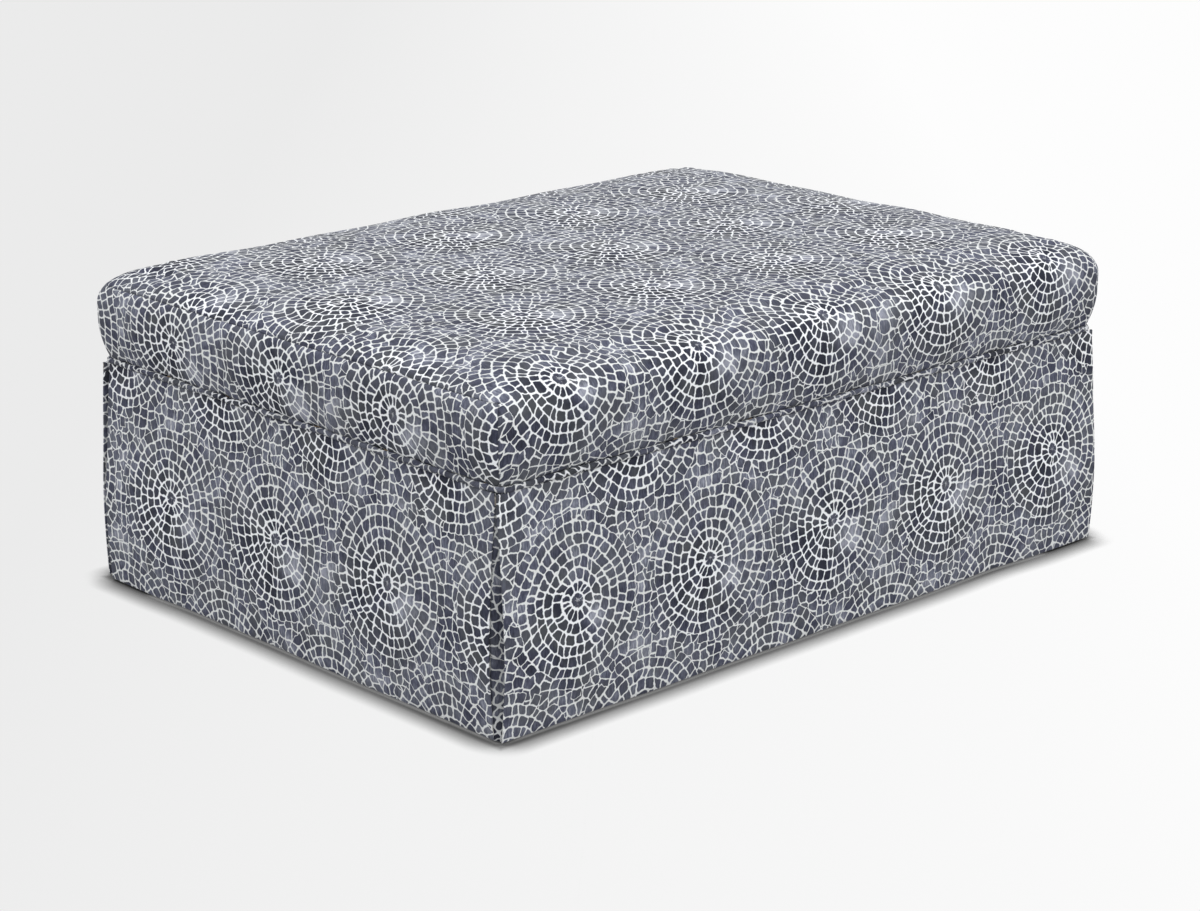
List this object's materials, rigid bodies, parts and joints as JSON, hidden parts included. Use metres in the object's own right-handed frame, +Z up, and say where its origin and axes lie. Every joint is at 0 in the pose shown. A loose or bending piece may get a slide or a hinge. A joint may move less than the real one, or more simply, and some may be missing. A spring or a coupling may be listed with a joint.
{
  "type": "ottoman coffee table",
  "caption": "Low rectangular upholstered ottoman coffee table with a crowned padded top, piped seam and a floor-length tailored skirt with corner kick pleats.",
  "frame": {"origin": "centre of the footprint, on the floor that the glides stand on", "axes": "+X along the length, -Y towards the front, +Z up from the floor"},
  "size_m": [1.2, 0.88, 0.473],
  "materials": {
    "patterned_cover_cloth": "woven cotton upholstery cloth with a printed tile pattern",
    "lining_cloth": "plain cotton lining",
    "jute_webbing": "coarse jute webbing",
    "deck_cloth": "plain cotton deck cloth",
    "dust_cover_cloth": "black non-woven cambric",
    "foam": "open-cell polyurethane foam",
    "fibre_batting": "bonded polyester batting",
    "tack_board": "pressed cardboard strip",
    "frame_hardwood": "planed, unfinished hardwood",
    "dowel_wood": "turned beech",
    "plated_steel": "zinc-plated steel",
    "nylon_glide": "moulded nylon"
  },
  "bodies": {
    "root": {"centre_stretcher": "frame_hardwood", "corner_block_screws": "plated_steel", "cross_strap_1": "jute_webbing", "cross_strap_2": "jute_webbing", "cross_strap_3": "jute_webbing", "cross_strap_4": "jute_webbing", "cross_strap_5": "jute_webbing", "cross_strap_6": "jute_webbing", "cross_strap_7": "jute_webbing", "deck_cloth": "deck_cloth", "dust_cover": "dust_cover_cloth", "fibre_wrap": "fibre_batting", "floor_glides": "nylon_glide", "foam_core": "foam", "frame_dowels": "dowel_wood", "front_rail": "frame_hardwood", "front_skirt_lining": "lining_cloth", "front_skirt_panel": "patterned_cover_cloth", "front_tack_strip": "tack_board", "left_end_boxing": "patterned_cover_cloth", "left_end_rail": "frame_hardwood", "left_front_corner_block": "frame_hardwood", "left_front_leg": "frame_hardwood", "left_front_leg_plate": "plated_steel", "left_front_pleat_underlay": "patterned_cover_cloth", "left_rear_corner_block": "frame_hardwood", "left_rear_leg": "frame_hardwood", "left_rear_leg_plate": "plated_steel", "left_rear_pleat_underlay": "patterned_cover_cloth", "left_skirt_lining": "lining_cloth", "left_skirt_panel": "patterned_cover_cloth", "left_tack_strip": "tack_board", "leg_hanger_bolts": "plated_steel", "leg_plate_screws": "plated_steel", "long_strap_1": "jute_webbing", "long_strap_2": "jute_webbing", "long_strap_3": "jute_webbing", "long_strap_4": "jute_webbing", "long_strap_5": "jute_webbing", "rear_rail": "frame_hardwood", "rear_skirt_lining": "lining_cloth", "rear_skirt_panel": "patterned_cover_cloth", "rear_tack_strip": "tack_board", "right_end_boxing": "patterned_cover_cloth", "right_end_rail": "frame_hardwood", "right_front_corner_block": "frame_hardwood", "right_front_leg": "frame_hardwood", "right_front_leg_plate": "plated_steel", "right_front_pleat_underlay": "patterned_cover_cloth", "right_rear_corner_block": "frame_hardwood", "right_rear_leg": "frame_hardwood", "right_rear_leg_plate": "plated_steel", "right_rear_pleat_underlay": "patterned_cover_cloth", "right_skirt_lining": "lining_cloth", "right_skirt_panel": "patterned_cover_cloth", "right_tack_strip": "tack_board", "top_panel": "patterned_cover_cloth", "welt_piping": "patterned_cover_cloth"}
  },
  "joints": []
}
